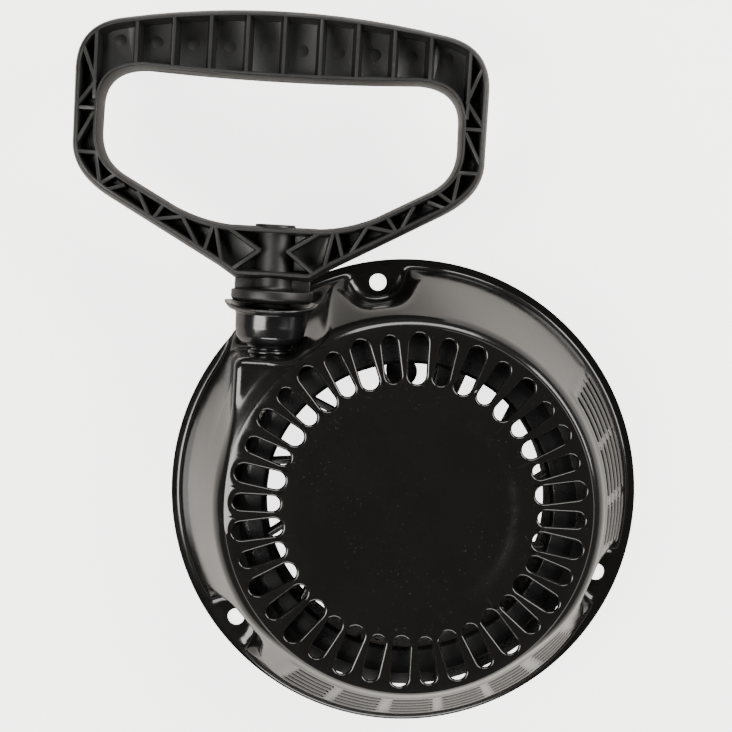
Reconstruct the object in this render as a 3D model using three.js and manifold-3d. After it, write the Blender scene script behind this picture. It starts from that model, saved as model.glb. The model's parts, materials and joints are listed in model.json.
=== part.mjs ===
// Recoil starter of a large single-cylinder engine: a stamped steel housing that holds a spoked rope reel,
// its rewind spring, the pawls, and a D-shaped pull handle seated in a rope guide.
// Millimetres, +Z up. The starter lies on its mounting flange with the crown up.

import * as THREE from 'three';
import { mergeVertices } from 'three/addons/utils/BufferGeometryUtils.js';
import Module from 'manifold-3d';

const wasm = await Module();
wasm.setup();

// ---- driving dimensions ----

const reelAxis = new THREE.Vector3(18.8, -54.5, 0); // where the reel turns, from the middle of the footprint
const gap = 0.3; // clearance between touching pieces

const flangeRadius = 109.5;
const crownHeight = 68;
const crownFlatRadius = 80.5;
const sheet = 1.5; // steel thickness
const housingFacets = 48;
const coneFoot = new THREE.Vector2(104.6, 3.2);
const coneTop = new THREE.Vector2(86, 62);
const dishRadius = 48;
const dishDepth = 1.5;
const slotCount = 36;
const slotInner = 55.6;
const slotOuter = 77.8;
const slotWidths = [7.6, 6.6];
const slotTilt = 6.7; // degrees, the first slot
const boltAngles = [97, 217, 337];
const boltCircle = 99.4;
const boltHole = 4;
const ventGroups = [ // the first angle and the sweep of each group of slits, in degrees
  [236.5, 11.5], [251, 11.5], [265.5, 11.5], [280, 11.5], [294.3, 11], [308.8, 11],
  [348.5, 12], [2.7, 14], [18.5, 14.5],
];
const ventHeights = [14, 23, 32, 41, 50];
const ventOpening = 4;

const ropeLean = THREE.MathUtils.degToRad(3.2); // the pull line leans to +X
const pullOffset = 65.3; // distance of the pull line from the reel axis
const pullHeight = 48;
const outletFace = 61.5; // distance of the outlet wall along the pull line
const outletHeight = 66;
const outletHole = 8.9;
const reliefRadius = 83.7; // the side wall beside the outlet
const reliefFloor = 25;

const ropeRadius = 2.5;
const ropeTurns = 3.774;
const ropePitch = 5.3;
const ropeStepsPerTurn = 20;
const drumRadius = 65.2;
const woundRadius = (drumRadius + gap + ropeRadius) / Math.cos(Math.PI / ropeStepsPerTurn);
const rimInner = 63.6;
const rimOuter = 75.5; // the upper flange
const skirtRadius = 86.3; // the lower flange, which keeps dirt out of the rope
const rimBottom = 21.3;
const skirtWall = 1.6;
const rimTop = 53;
const rimWall = 2;
const hubRadius = 44.5;
const hubTop = 59;
const webBottom = 35;
const webTop = 38;
const spokeCount = 12;
const spokeStart = 8.3; // degrees
const spokeSlant = 24; // degrees from the radius

const postRadius = 9;
const boltRadius = 3;
const springTurns = 7;
const springInner = 11;
const springOuter = 40.6;
const springStrip = 0.8;
const springHeight = 16;

const pawlPivot = 27;
const pawlLength = 24;
const pawlPeg = 12;
const pawlSwing = 28; // degrees
const guideRatio = 0.9;
const guideRadius = 39;

const handleThickness = 25;
const handleWeb = 3;
const handleSeat = 110; // distance of the handle's own origin along the pull line
const handleWall = { outer: 3.2, inner: 2.4 };
const ribPitch = 15.93;
const ribWidth = 2;
const ribReach = 2.2;
const topRibs = 9;
const bossRim = 8.9;
const neckReach = 16.5; // the neck is a flat plate between the handle and its collar
const neckHeight = 7;
const collarRadius = 18.2;
const knotSeat = -3; // where the knot's pocket ends inside the boss

// ---- materials ----

const material = (color, roughness, metalness) => new THREE.MeshStandardMaterial({ color, roughness, metalness });
const blackPaint = material(0x0d0d0e, 0.22, 0.1);
const gripPlastic = material(0x1c1d1f, 0.55, 0);
const glossPlastic = material(0x0b0b0c, 0.25, 0);
const reelPlastic = material(0x111113, 0.35, 0);
const springSteel = material(0x6d7278, 0.35, 1);
const zincSteel = material(0xa9adb0, 0.35, 1);
const pawlSteel = material(0x85888c, 0.45, 1);
const ropeFibre = material(0xdcd8cc, 0.9, 0);
const guideNylon = material(0x26282b, 0.5, 0);

// ---- solids ----

const radians = THREE.MathUtils.degToRad;
const polar = (radius, degrees, z = 0) =>
  new THREE.Vector3(radius * Math.cos(radians(degrees)), radius * Math.sin(radians(degrees)), z);

// A closed three.js geometry becomes a solid: shared vertices, no flat triangles, faces outward.
function solidOf(geometry) {
  const bare = geometry.clone();
  for (const name of Object.keys(bare.attributes)) {
    if (name !== 'position') bare.deleteAttribute(name);
  }
  const merged = mergeVertices(bare, 1e-4);
  const points = merged.attributes.position.array;
  const corners = [];
  let volume = 0;
  for (let i = 0; i < merged.index.count; i += 3) {
    const [a, b, c] = [0, 1, 2].map((k) => merged.index.getX(i + k));
    if (a === b || b === c || c === a) continue;
    corners.push([a, b, c]);
    const [p, q, r] = [a, b, c].map((k) => new THREE.Vector3().fromArray(points, 3 * k));
    volume += p.dot(q.cross(r));
  }
  const outward = volume < 0 ? corners.map(([a, b, c]) => [a, c, b]) : corners;
  return new wasm.Manifold(
    new wasm.Mesh({
      numProp: 3,
      vertProperties: new Float32Array(points),
      triVerts: new Uint32Array(outward.flat()),
    }),
  );
}

function geometryOf(solid) {
  const found = solid.getMesh();
  const geometry = new THREE.BufferGeometry();
  geometry.setAttribute('position', new THREE.BufferAttribute(new Float32Array(found.vertProperties), 3));
  geometry.setIndex(new THREE.BufferAttribute(new Uint32Array(found.triVerts), 1));
  geometry.computeVertexNormals();
  return geometry;
}

const join = (solids) => solids.reduce((whole, next) => whole.add(next));
const cut = (whole, tools) => tools.reduce((left, tool) => left.subtract(tool), whole);

// A profile of [radius, height] pairs turned about +Z; it starts and ends on the axis or closes on itself.
function turned(profile, segments = 48) {
  const points = profile.map(([r, z]) => new THREE.Vector2(r, z));
  const onAxis = points[0].x === 0 && points.at(-1).x === 0;
  if (!onAxis) points.push(points[0].clone());
  return new THREE.LatheGeometry(points, segments).rotateX(Math.PI / 2);
}

const ring = (inner, outer, low, high, segments = 48) =>
  turned([[inner, low], [outer, low], [outer, high], [inner, high]], segments);

const disc = (radius, low, high, segments = 32) =>
  turned([[0, low], [radius, low], [radius, high], [0, high]], segments);

function raised(shape, low, high, curveSegments = 6) {
  const geometry = new THREE.ExtrudeGeometry(shape, { depth: high - low, bevelEnabled: false, curveSegments });
  return geometry.translate(0, 0, low);
}

function block(width, depth, height) {
  return new THREE.BoxGeometry(width, depth, height);
}

function wire(points, radius, sides, steps) {
  const path = new THREE.CatmullRomCurve3(points);
  const section = new THREE.Shape(
    Array.from({ length: sides }, (_, k) => {
      const a = (2 * Math.PI * k) / sides;
      return new THREE.Vector2(radius * Math.cos(a), radius * Math.sin(a));
    }),
  );
  return new THREE.ExtrudeGeometry(section, { steps, extrudePath: path, bevelEnabled: false });
}

function polygon(points) {
  return new THREE.Shape(points.map(([x, y]) => new THREE.Vector2(x, y)));
}

function stadium(from, to, width, arcs = 2) {
  const shape = new THREE.Shape();
  shape.absarc(from, 0, width / 2, Math.PI / 2, (3 * Math.PI) / 2, false);
  shape.absarc(to, 0, width / 2, -Math.PI / 2, Math.PI / 2, false);
  return new THREE.Shape(shape.getPoints(arcs));
}

// ---- frames ----

const starter = new THREE.Group();
const engineSide = new THREE.Group();
engineSide.position.copy(reelAxis);
starter.add(engineSide);

// The pull line: +Y of this group runs along the rope from the reel's side to the handle.
const pullDirection = new THREE.Vector3(Math.sin(ropeLean), Math.cos(ropeLean), 0);
const pullSide = new THREE.Vector3(Math.cos(ropeLean), -Math.sin(ropeLean), 0);
const pullPoint = (across, along, z) =>
  new THREE.Vector3(0, 0, z)
    .addScaledVector(pullSide, across - pullOffset)
    .addScaledVector(pullDirection, along);

const pullLine = new THREE.Group();
pullLine.position.copy(pullPoint(0, 0, pullHeight));
pullLine.rotation.z = -ropeLean;
engineSide.add(pullLine);

function piece(parent, name, shape, finish) {
  const solid = shape instanceof THREE.BufferGeometry ? solidOf(shape) : shape;
  const mesh = new THREE.Mesh(geometryOf(solid), finish);
  mesh.name = name;
  parent.add(mesh);
  return mesh;
}

// ---- housing ----

function pocketShape(grow) {
  const mouth = 20 + grow;
  const bottom = 83.6 - 1.35 * grow;
  const shape = new THREE.Shape();
  shape.moveTo(130, -26);
  shape.lineTo(130, 26);
  shape.lineTo(104, mouth);
  shape.bezierCurveTo(bottom, 15 + grow, bottom, -15 - grow, 104, -mouth);
  return shape;
}

// The rope outlet is a tunnel along the pull line: a box with sloped sides and chamfered top corners.
function outletTunnel(inset, start, end, low) {
  const half = (z) => 14.2 + ((outletHeight - z) * 5) / outletHeight - inset;
  const top = outletHeight - inset;
  const shoulder = top - 3.5;
  const section = polygon([
    [-half(low), low],
    [half(low), low],
    [half(shoulder), shoulder],
    [half(top) - 3, top],
    [-half(top) + 3, top],
    [-half(shoulder), shoulder],
  ]);
  const geometry = raised(section, 0, end - start).rotateX(Math.PI / 2);
  geometry.translate(0, end, 0);
  geometry.rotateZ(-ropeLean);
  const base = pullPoint(0, 0, 0);
  return solidOf(geometry.translate(base.x, base.y, 0));
}

// The side wall steps in beside the outlet, up to the crown's edge, to make room for the rope guide.
function outletRelief(grow) {
  const near = outletFace - grow;
  const plan = polygon([[-25, near], [19 + grow, near], [19 + grow, 115], [-25, 115]]);
  const base = pullPoint(0, 0, 0);
  const room = raised(plan, reliefFloor - grow, 75).rotateZ(-ropeLean).translate(base.x, base.y, 0);
  return solidOf(room).subtract(solidOf(disc(reliefRadius - grow, 0, 80, housingFacets)));
}

function housingShell() {
  const outside = solidOf(
    turned([
      [0, 0], [flangeRadius, 0], [flangeRadius, sheet], [106.5, sheet], [coneFoot.x, coneFoot.y],
      [coneTop.x, coneTop.y], [85.2, 65.2], [83.3, 67.3], [crownFlatRadius, crownHeight],
      [dishRadius + 2, crownHeight], [dishRadius - 1.5, crownHeight - dishDepth], [0, crownHeight - dishDepth],
    ], housingFacets),
  );
  const inside = solidOf(
    turned([
      [0, -1], [105, -1], [105, 0], [coneFoot.x - 1.45, coneFoot.y - 0.4],
      [coneTop.x - 1.45, coneTop.y - 0.4], [83.8, 64.2], [82.2, 65.9], [80.2, crownHeight - sheet],
      [dishRadius + 2, crownHeight - sheet], [dishRadius - 1.5, crownHeight - dishDepth - sheet],
      [0, crownHeight - dishDepth - sheet],
    ], housingFacets),
  );
  const pockets = (grow, low) =>
    boltAngles.map((angle) => solidOf(raised(pocketShape(grow), low, 75).rotateZ(radians(angle))));
  const skin = outside.add(outletTunnel(0, -12, outletFace, 0));
  const hollow = inside.add(outletTunnel(sheet, -12, outletFace - sheet, -1));
  const pressedSkin = cut(skin, [...pockets(0, sheet), outletRelief(0)]);
  const pressedHollow = cut(hollow, [...pockets(sheet, -2), outletRelief(sheet)]);
  return pressedSkin.subtract(pressedHollow);
}

function crownSlots() {
  return Array.from({ length: slotCount }, (_, k) => {
    const width = slotWidths[k % 2];
    const shorten = k % 2 === 0 ? 0 : 1;
    const outline = stadium(slotInner + width / 2 + shorten, slotOuter - width / 2 - shorten, width);
    const angle = slotTilt + (360 / slotCount) * k;
    return solidOf(raised(outline, crownHeight - 5, crownHeight + 2).rotateZ(radians(angle)));
  });
}

// One slit is a thin curved bar through the side wall.
function ventSlits() {
  const bars = [];
  for (const [start, sweep] of ventGroups) {
    for (const height of ventHeights) {
      const share = (height - coneFoot.y) / (coneTop.y - coneFoot.y);
      const wall = THREE.MathUtils.lerp(coneFoot.x, coneTop.x, share);
      const shape = new THREE.Shape();
      shape.absarc(0, 0, wall + 4, radians(start), radians(start + sweep), false);
      shape.absarc(0, 0, wall - 6, radians(start + sweep), radians(start), true);
      const outline = new THREE.Shape(shape.getPoints(1));
      bars.push(solidOf(raised(outline, height - ventOpening / 2, height + ventOpening / 2)));
    }
  }
  return bars;
}

function housing() {
  const boltHoles = boltAngles.map((angle) => {
    const place = polar(boltCircle, angle);
    return solidOf(disc(boltHole, -2, 4, 16).translate(place.x, place.y, 0));
  });
  const outlet = disc(outletHole, outletFace - 6, outletFace + 6, 24).rotateX(-Math.PI / 2).rotateZ(-ropeLean);
  const mouth = pullPoint(0, 0, pullHeight);
  outlet.translate(mouth.x, mouth.y, mouth.z);
  return cut(housingShell(), [...crownSlots(), ...ventSlits(), ...boltHoles, solidOf(outlet)]);
}

piece(engineSide, 'housing', housing(), blackPaint);

// ---- centre post, bolt and washers ----

const postTop = crownHeight - dishDepth - sheet - gap;
const postBottom = 19.3;
const post = turned([
  [3.3, postBottom], [postRadius, postBottom], [postRadius, postTop - 3], [22, postTop - 3], [22, postTop],
  [0, postTop], [0, 46], [3.3, 46], [3.3, postBottom],
], 32);
piece(engineSide, 'centre_post', post, zincSteel);

piece(engineSide, 'thrust_washer', ring(3.4, 17, 17.8, 19, 32), zincSteel);
piece(engineSide, 'guide_washer', ring(3.4, 10, 7, 8.2, 24), zincSteel);

const boltHead = solidOf(turned([[0, 2.7], [6.4, 2.7], [6.9, 3.2], [6.9, 6.7], [0, 6.7]], 6));
const boltShank = solidOf(disc(boltRadius, 6, 40, 20));
piece(engineSide, 'centre_bolt', boltHead.add(boltShank), zincSteel);

// ---- reel ----

const pawlAngles = [90, 270];
const knotAngle = 92;
const pinRadius = 2.5;
const bossRadius = 6;

function reel() {
  const rim = turned([
    [rimInner, rimBottom], [skirtRadius, rimBottom], [skirtRadius, rimBottom + skirtWall],
    [drumRadius, rimBottom + skirtWall], [drumRadius, rimTop - rimWall], [rimOuter, rimTop - rimWall],
    [rimOuter, rimTop], [rimInner, rimTop],
  ], 48);
  const hub = turned([
    [postRadius + gap, 20], [15, 20], [15, webBottom], [hubRadius, webBottom], [hubRadius, hubTop],
    [hubRadius - 2.5, hubTop], [hubRadius - 2.5, webTop], [postRadius + gap, webTop],
  ], 40);
  const solids = [rim, hub].map(solidOf);
  for (let k = 0; k < spokeCount; k += 1) {
    const spoke = block(22.4, 2.4, 14).rotateZ(radians(spokeSlant)).translate(54, 0, 43);
    solids.push(solidOf(spoke.rotateZ(radians(spokeStart + (360 / spokeCount) * k))));
  }
  const anchor = new THREE.Shape();
  anchor.absarc(0, 0, rimInner + 0.8, radians(66), radians(78), false);
  anchor.absarc(0, 0, hubRadius - 1, radians(78), radians(66), true);
  solids.push(solidOf(raised(new THREE.Shape(anchor.getPoints(4)), 36, 50)));
  for (const angle of pawlAngles) {
    const place = polar(pawlPivot, angle);
    solids.push(solidOf(disc(bossRadius, 24, webBottom + 1, 20).translate(place.x, place.y, 0)));
  }
  const pins = pawlAngles.map((angle) => {
    const place = polar(pawlPivot, angle);
    return solidOf(disc(pinRadius + gap, 20, webBottom - 1, 16).translate(place.x, place.y, 0));
  });
  const ropeHole = disc(ropeRadius + 0.5, 50, 70, 12).rotateY(Math.PI / 2);
  ropeHole.rotateZ(radians(knotAngle)).translate(0, 0, pullHeight - ropeTurns * ropePitch);
  return cut(join(solids), [...pins, solidOf(ropeHole)]);
}

piece(engineSide, 'reel', reel(), reelPlastic);

// ---- rewind spring: a flat strip in a spiral ----

function rewindSpring() {
  const steps = springTurns * 16;
  const outerEdge = [];
  const innerEdge = [];
  for (let k = 0; k <= steps; k += 1) {
    const share = k / steps;
    const radius = THREE.MathUtils.lerp(springInner, springOuter, share ** 0.8);
    const angle = -2 * Math.PI * springTurns * share;
    const way = new THREE.Vector2(Math.cos(angle), Math.sin(angle));
    outerEdge.push(way.clone().multiplyScalar(radius + springStrip / 2));
    innerEdge.unshift(way.clone().multiplyScalar(radius - springStrip / 2));
  }
  const low = webTop + 2;
  return raised(new THREE.Shape([...outerEdge, ...innerEdge]), low, low + springHeight);
}

piece(engineSide, 'rewind_spring', rewindSpring(), springSteel);

// ---- pawls, their pins and springs, and the plate that throws them out ----

const pawlLow = 13.2;
const pawlHigh = 19;
const pegBottom = 9;

// The pawl lies along +X from its pivot at the origin.
function pawl() {
  const outline = new THREE.Shape();
  outline.absarc(0, 0, 5.5, Math.PI / 2, (3 * Math.PI) / 2, false);
  outline.lineTo(15, -4);
  outline.lineTo(pawlLength, -1.5);
  outline.lineTo(pawlLength, 3);
  outline.lineTo(13, 5);
  const body = solidOf(raised(new THREE.Shape(outline.getPoints(8)), pawlLow, pawlHigh));
  const peg = solidOf(disc(1.6, pegBottom, pawlLow + 1, 12).translate(pawlPeg, 0, 0));
  return body.add(peg).subtract(solidOf(disc(pinRadius + gap, 10, 22, 16)));
}

function pawlPin() {
  const stem = disc(pinRadius, 11.6, webBottom - 2, 16);
  const head = disc(4.2, 11.6, 12.9, 16);
  return solidOf(stem).add(solidOf(head));
}

function pawlSpring() {
  const turns = 2.5;
  const steps = 30;
  const points = [new THREE.Vector3(-9, 3.9, 20)];
  for (let k = 0; k <= steps; k += 1) {
    const angle = Math.PI / 2 - (2 * Math.PI * turns * k) / steps;
    points.push(new THREE.Vector3(3.9 * Math.cos(angle), 3.9 * Math.sin(angle), 20 + (3 * k) / steps));
  }
  points.push(new THREE.Vector3(9, -3.9, 23));
  return wire(points, 0.4, 5, 30);
}

pawlAngles.forEach((angle, k) => {
  const place = new THREE.Group();
  place.position.copy(polar(pawlPivot, angle));
  place.rotation.z = radians(angle - 90);
  engineSide.add(place);
  piece(place, `pawl_${k + 1}`, pawl(), pawlSteel);
  piece(place, `pawl_pin_${k + 1}`, pawlPin(), zincSteel);
  piece(place, `pawl_spring_${k + 1}`, pawlSpring(), springSteel);
});

// Each cam slot is the path of a pawl's peg as the pawl swings out and the plate turns with it.
function pawlGuide() {
  const plate = disc(guideRadius, 8.5, 11, 40);
  const steps = 5;
  const slots = [];
  for (const angle of pawlAngles) {
    for (let k = 0; k < steps; k += 1) {
      const ends = [k, k + 1].map((n) => {
        const swing = radians((pawlSwing * n) / steps);
        const peg = new THREE.Vector3(pawlPeg * Math.cos(swing), pawlPivot + pawlPeg * Math.sin(swing), 0);
        return peg.applyAxisAngle(new THREE.Vector3(0, 0, 1), radians(angle - 90) - guideRatio * swing);
      });
      const way = ends[1].clone().sub(ends[0]);
      const bar = raised(stadium(0, way.length(), 4.4, 3), 6, 14);
      slots.push(solidOf(bar.rotateZ(Math.atan2(way.y, way.x)).translate(ends[0].x, ends[0].y, 0)));
    }
  }
  return cut(solidOf(plate), [...slots, solidOf(disc(3.5, 6, 14, 20))]);
}

piece(engineSide, 'pawl_guide', pawlGuide(), guideNylon);

function brakeSpring() {
  const turns = 3;
  const steps = 30;
  const points = Array.from({ length: steps + 1 }, (_, k) => {
    const share = k / steps;
    return polar(6.5, 360 * turns * share, 12.3 + 4.2 * share);
  });
  return wire(points, 0.7, 5, 36);
}

piece(engineSide, 'brake_spring', brakeSpring(), springSteel);

// ---- rope guide: a flared cup on a ribbed neck, held inside the wall by a clip ----

const towardPull = (geometry) => geometry.rotateX(-Math.PI / 2);

const ropeGuide = turned([
  [3.6, 52], [7.6, 52], [8.5, 53.5], [8.5, 57], [7, 57.3], [7, 59.8], [8.5, 60.1], [8.5, 62],
  [9, 62.5], [9, 64.2], [8.2, 64.8], [9, 65.4], [9, 67.1], [8.2, 67.7], [9, 70],
  [12.5, 71], [14.8, 73.5], [15.6, 77], [15.6, 82.6], [18.5, 84], [21, 87.2],
  [19.6, 87.8], [18, 86.1], [13.5, 84.4], [3.6, 84],
], 24);
piece(pullLine, 'rope_guide', towardPull(ropeGuide), glossPlastic);
piece(pullLine, 'rope_guide_clip', towardPull(ring(7.3, 12, 57.6, 59.5, 24)), zincSteel);

// ---- handle ----

// The handle's outlines are drawn as halves and mirrored about the pull line.
function handleOutline(divisions = 4) {
  const path = new THREE.Path();
  path.moveTo(0, -13);
  path.lineTo(16.5, -13);
  path.lineTo(24.5, -7.8);
  path.lineTo(73, 19.1);
  path.quadraticCurveTo(90.6, 28.8, 90.6, 43);
  path.lineTo(90.8, 74);
  path.quadraticCurveTo(91, 94.5, 70, 98);
  path.quadraticCurveTo(35, 104.5, 0, 104.5);
  return path.getPoints(divisions);
}

function openingOutline(divisions = 4) {
  const path = new THREE.Path();
  path.moveTo(0, 10.6);
  path.lineTo(20, 10.6);
  path.quadraticCurveTo(32, 11.5, 44, 17);
  path.lineTo(67, 29.5);
  path.quadraticCurveTo(78, 35.5, 78.2, 48);
  path.lineTo(78, 60);
  path.quadraticCurveTo(77.5, 75, 60, 75.6);
  path.quadraticCurveTo(30, 74, 0, 74);
  return path.getPoints(divisions);
}

function mirrored(half) {
  const back = half.slice(1, -1).reverse().map((p) => new THREE.Vector2(-p.x, p.y));
  return [...half, ...back];
}

// Each point moves along the bisector of its two edges, so that the walls keep their thickness.
function offsetOutline(points, distance) {
  const count = points.length;
  return points.map((point, k) => {
    const before = point.clone().sub(points[(k + count - 1) % count]).normalize();
    const after = points[(k + 1) % count].clone().sub(point).normalize();
    const normal = new THREE.Vector2(before.y + after.y, -before.x - after.x).normalize();
    const stretch = 1 / Math.max(0.5, normal.dot(new THREE.Vector2(after.y, -after.x)));
    return point.clone().addScaledVector(normal, distance * stretch);
  });
}

// The bars between the outer and inner walls are stiffened by a zigzag of ribs.
const trussRibs = [
  [[86, 82.5], [82, 72.5]], [[82, 67], [87.2, 59.8]], [[88, 57.3], [79, 57.3]], [[82, 53.4], [87, 43.8]],
  [[88, 38.3], [77, 38.3]], [[78.6, 35], [77.2, 26.4]], [[71, 28.6], [76, 25.3]], [[68.4, 24.1], [75, 22]],
  [[59, 20.3], [55, 12.2]], [[50, 15.4], [53.1, 11]], [[51.4, 11], [43.2, 12.2]], [[39.4, 11], [32.6, -1]],
  [[27.1, 9], [30.6, -3]], [[25.6, 9], [22.3, -7]], [[20.3, 9], [8, 1]], [[8, -1.5], [17.7, -9]],
];

// A bar runs on past its ends, into the walls.
function bar(from, to, width, low, high) {
  const span = Math.hypot(to[0] - from[0], to[1] - from[1]) + 2 * ribReach;
  const geometry = block(span, width, high - low);
  geometry.rotateZ(Math.atan2(to[1] - from[1], to[0] - from[0]));
  return geometry.translate((from[0] + to[0]) / 2, (from[1] + to[1]) / 2, (low + high) / 2);
}

function handle() {
  const half = handleThickness / 2;
  const outer = mirrored(handleOutline());
  const opening = mirrored(openingOutline());
  const ringShape = (outline, hole) => {
    const shape = new THREE.Shape(outline);
    shape.holes.push(new THREE.Path(hole));
    return shape;
  };
  const body = solidOf(raised(ringShape(outer, opening), -half, half));
  const channel = ringShape(
    offsetOutline(outer, -handleWall.outer),
    offsetOutline(opening, handleWall.inner),
  );
  const ribs = [];
  for (let k = 0; k < topRibs; k += 1) {
    const across = (k - (topRibs - 1) / 2) * ribPitch;
    ribs.push(bar([across, 73], [across, 103], ribWidth, -half, half));
  }
  for (const [from, to] of trussRibs) {
    ribs.push(bar(from, to, ribWidth, -half, half));
    ribs.push(bar([-from[0], from[1]], [-to[0], to[1]], ribWidth, -half, half));
  }
  ribs.push(bar([81, 70], [81, 95], ribWidth, -half, half));
  ribs.push(bar([-81, 70], [-81, 95], ribWidth, -half, half));
  const keep = join([...ribs.map(solidOf), solidOf(block(200, 260, handleWeb))]);
  const boss = towardPull(disc(bossRim, -20, 11.5, 24));
  const neck = block(2 * neckReach, 6, neckHeight).translate(0, -15, 0);
  const collar = towardPull(disc(collarRadius, -23, -17, 40));
  const hollow = solidOf(raised(channel, -half - 1, half + 1)).subtract(keep);
  const filled = join([body.subtract(hollow), solidOf(boss), solidOf(neck), solidOf(collar)]);
  const clearOpening = solidOf(raised(new THREE.Shape(opening), -half - 1, half + 1));
  const bore = solidOf(towardPull(disc(ropeRadius + 0.6, -30, 0, 16)));
  const knotPocket = solidOf(towardPull(disc(6.6, knotSeat, 20, 20)));
  return cut(filled, [clearOpening, bore, knotPocket]);
}

const grip = new THREE.Group();
grip.position.y = handleSeat;
pullLine.add(grip);
piece(grip, 'handle', handle(), gripPlastic);
piece(grip, 'rope_retainer', towardPull(ring(ropeRadius + 0.5, 6.2, knotSeat + gap, knotSeat + 1.8, 20)), zincSteel);

// ---- rope: the wound turns, the run to the handle, and a knot at each end ----

const knotPoint = handleSeat + 3.5;
const entry = pullPoint(0, 55, pullHeight);
const entryAngle = Math.atan2(entry.y, entry.x);
const leaveAngle = entryAngle + Math.acos(woundRadius / Math.hypot(entry.x, entry.y));

function woundRope() {
  const steps = Math.round(ropeTurns * ropeStepsPerTurn);
  const points = Array.from({ length: steps + 1 }, (_, k) => {
    const share = k / steps;
    const angle = leaveAngle + radians(0.4) + 2 * Math.PI * ropeTurns * share;
    const z = pullHeight - ropePitch * ropeTurns * share;
    return new THREE.Vector3(woundRadius * Math.cos(angle), woundRadius * Math.sin(angle), z);
  });
  return wire(points, ropeRadius, 8, steps);
}

function ropeRun() {
  const leave = new THREE.Vector3(woundRadius * Math.cos(leaveAngle), woundRadius * Math.sin(leaveAngle), pullHeight);
  const points = [leave, leave.clone().lerp(entry, 0.33), leave.clone().lerp(entry, 0.66), entry];
  for (let along = 66; along < knotPoint - 5; along += 10) points.push(pullPoint(0, along, pullHeight));
  points.push(pullPoint(0, knotPoint - 4, pullHeight));
  return wire(points, ropeRadius, 8, 24);
}

piece(engineSide, 'rope_wound', woundRope(), ropeFibre);
piece(engineSide, 'rope_run', ropeRun(), ropeFibre);

const knot = (radius, length) => new THREE.SphereGeometry(radius, 12, 8).scale(1, length / radius, 1);
piece(pullLine, 'rope_knot_handle', knot(5.2, 3.8).translate(0, knotPoint + 0.1, 0), ropeFibre);

const knotHeight = pullHeight - ropeTurns * ropePitch;
const reelKnot = knot(4.6, 3.6).rotateZ(radians(knotAngle - 90));
const reelKnotPlace = polar(rimInner - 4.2, knotAngle, knotHeight);
piece(engineSide, 'rope_knot_reel', reelKnot.translate(...reelKnotPlace.toArray()), ropeFibre);

export default starter;
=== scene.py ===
import json
import math

import bmesh
import bpy
import numpy as np
from mathutils import Matrix, Vector

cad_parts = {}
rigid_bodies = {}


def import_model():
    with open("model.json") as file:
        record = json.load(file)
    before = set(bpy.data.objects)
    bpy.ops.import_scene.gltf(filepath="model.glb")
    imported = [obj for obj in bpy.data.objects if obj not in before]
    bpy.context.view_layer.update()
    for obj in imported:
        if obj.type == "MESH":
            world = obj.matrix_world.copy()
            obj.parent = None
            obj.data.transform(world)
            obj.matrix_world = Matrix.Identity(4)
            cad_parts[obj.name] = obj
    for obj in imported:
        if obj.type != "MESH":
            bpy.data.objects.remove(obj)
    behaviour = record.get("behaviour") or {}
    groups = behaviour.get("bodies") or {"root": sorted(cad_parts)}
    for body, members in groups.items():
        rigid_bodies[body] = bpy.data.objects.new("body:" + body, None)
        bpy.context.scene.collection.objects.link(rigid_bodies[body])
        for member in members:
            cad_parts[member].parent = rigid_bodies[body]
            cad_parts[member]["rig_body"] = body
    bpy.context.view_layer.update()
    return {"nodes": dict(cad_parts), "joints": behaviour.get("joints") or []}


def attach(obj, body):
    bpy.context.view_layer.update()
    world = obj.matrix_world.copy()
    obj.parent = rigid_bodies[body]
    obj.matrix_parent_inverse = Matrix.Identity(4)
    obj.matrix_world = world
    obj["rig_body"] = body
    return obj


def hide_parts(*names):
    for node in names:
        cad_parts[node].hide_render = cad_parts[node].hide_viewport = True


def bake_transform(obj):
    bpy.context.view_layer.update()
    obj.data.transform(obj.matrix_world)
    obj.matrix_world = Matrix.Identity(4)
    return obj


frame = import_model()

joints = {joint["name"]: joint for joint in frame["joints"]}
mm = 0.001
reelAxis = Vector(joints["reel_turn"]["pos_m"][:2] + [0])  # the reel turns about this line
pullDirection = Vector(joints["handle_pull"]["axis"]).normalized()
pullSide = Vector((pullDirection.y, -pullDirection.x, 0))
pullLine = dict(offset=65.3, height=48.0, seat=110.0)  # off the reel's axis, off the floor, the handle's zero

print("frame loaded:", len(frame["nodes"]), "nodes")


# shared steps for objects and shader nodes

def addObject(name, data):
    piece = bpy.data.objects.new(name, data)
    bpy.context.scene.collection.objects.link(piece)
    return piece


def fillSockets(node, values):
    # a socket is linked, and anything else is set as the value
    for key, value in values.items():
        if isinstance(value, bpy.types.NodeSocket):
            node.id_data.links.new(value, node.inputs[key])
        else:
            node.inputs[key].default_value = value


def addNode(tree, kind, values=None, **settings):
    node = tree.nodes.new(kind)
    for key, value in settings.items():
        setattr(node, key, value)
    fillSockets(node, values or {})
    return node


# camera, lights and world

def pointAt(position, target, upward=(0, 1, 0)):
    forward = (Vector(target) - Vector(position)).normalized()
    right = forward.cross(Vector(upward)).normalized()
    up = right.cross(forward)
    turn = Matrix((right, up, -forward)).transposed().to_4x4()
    return Matrix.Translation(position) @ turn


cameraSetup = dict(position=(-0.0132, 0.0602, 0.85), target=(0.0011, 0.0046, 0.0), lens=88.9)


def makeCamera(setup):
    data = bpy.data.cameras.new("camera")
    data.lens = setup["lens"]
    data.sensor_width = 36
    camera = addObject("camera", data)
    camera.matrix_world = pointAt(setup["position"], setup["target"])
    bpy.context.scene.camera = camera


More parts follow.
